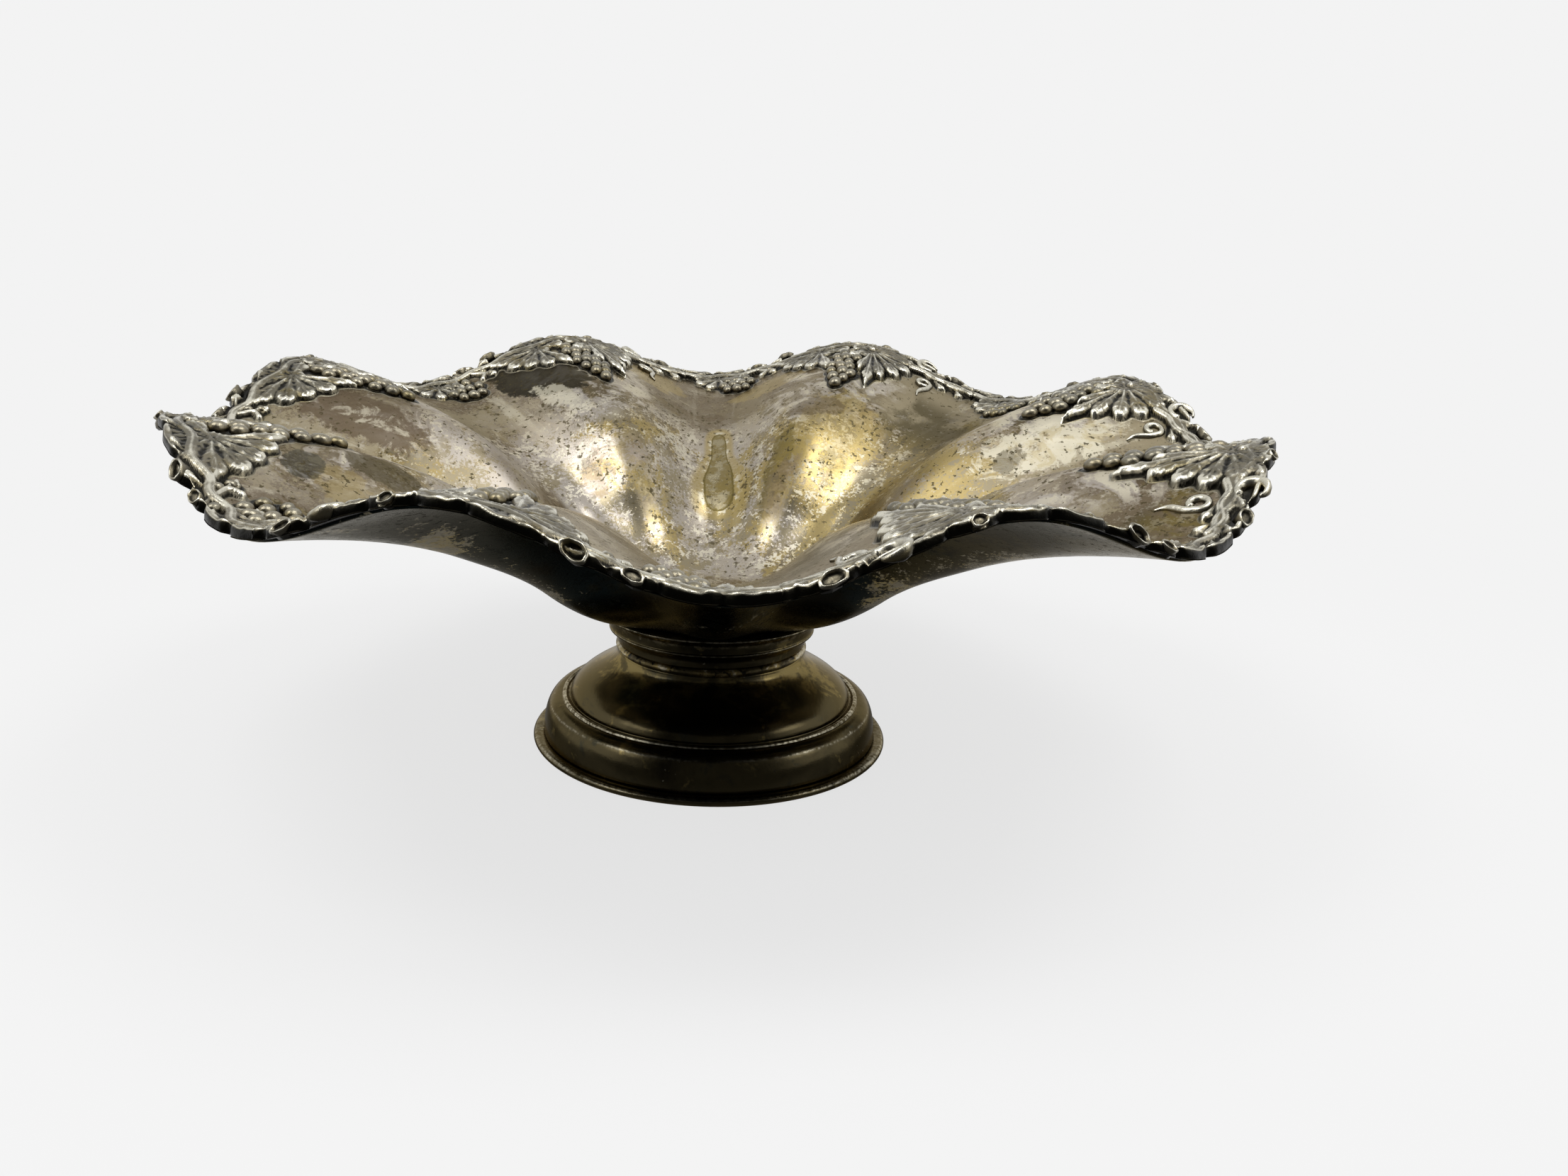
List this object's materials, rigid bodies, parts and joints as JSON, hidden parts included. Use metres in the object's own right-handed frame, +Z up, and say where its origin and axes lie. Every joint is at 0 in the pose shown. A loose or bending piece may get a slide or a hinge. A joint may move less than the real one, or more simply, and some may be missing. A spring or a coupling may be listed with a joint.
{
  "type": "footed centerpiece bowl",
  "caption": "Footed centerpiece bowl of plated metal: fluted flaring body, cast grapevine border round the wavy rim, stepped collar and round spun foot. Holds fruit or flowers.",
  "frame": {"origin": "centre of the foot's underside, on the surface it stands on", "axes": "+Z up along the bowl's axis; -Y is the front, with one channel of the rim facing it"},
  "size_m": [0.3288, 0.3288, 0.1144],
  "materials": {
    "bowl_plate": "silver plate over brass, tarnished taupe with golden stains and worn bright ridges",
    "vine_plate": "cast silver-plated relief, dark in the recesses and bright on the high points",
    "foot_plate": "silver plate over brass, heavy dark brown tarnish",
    "bead_plate": "pitted solder bead, worn pale gold"
  },
  "bodies": {
    "root": {"bowl": "bowl_plate", "vine_border_1": "vine_plate", "vine_border_2": "vine_plate", "vine_border_3": "vine_plate", "vine_border_4": "vine_plate", "vine_border_5": "vine_plate", "vine_border_6": "vine_plate", "vine_border_7": "vine_plate", "vine_border_8": "vine_plate", "collar": "foot_plate", "waist_bead": "bead_plate", "foot": "foot_plate", "foot_wire": "foot_plate"}
  },
  "joints": []
}
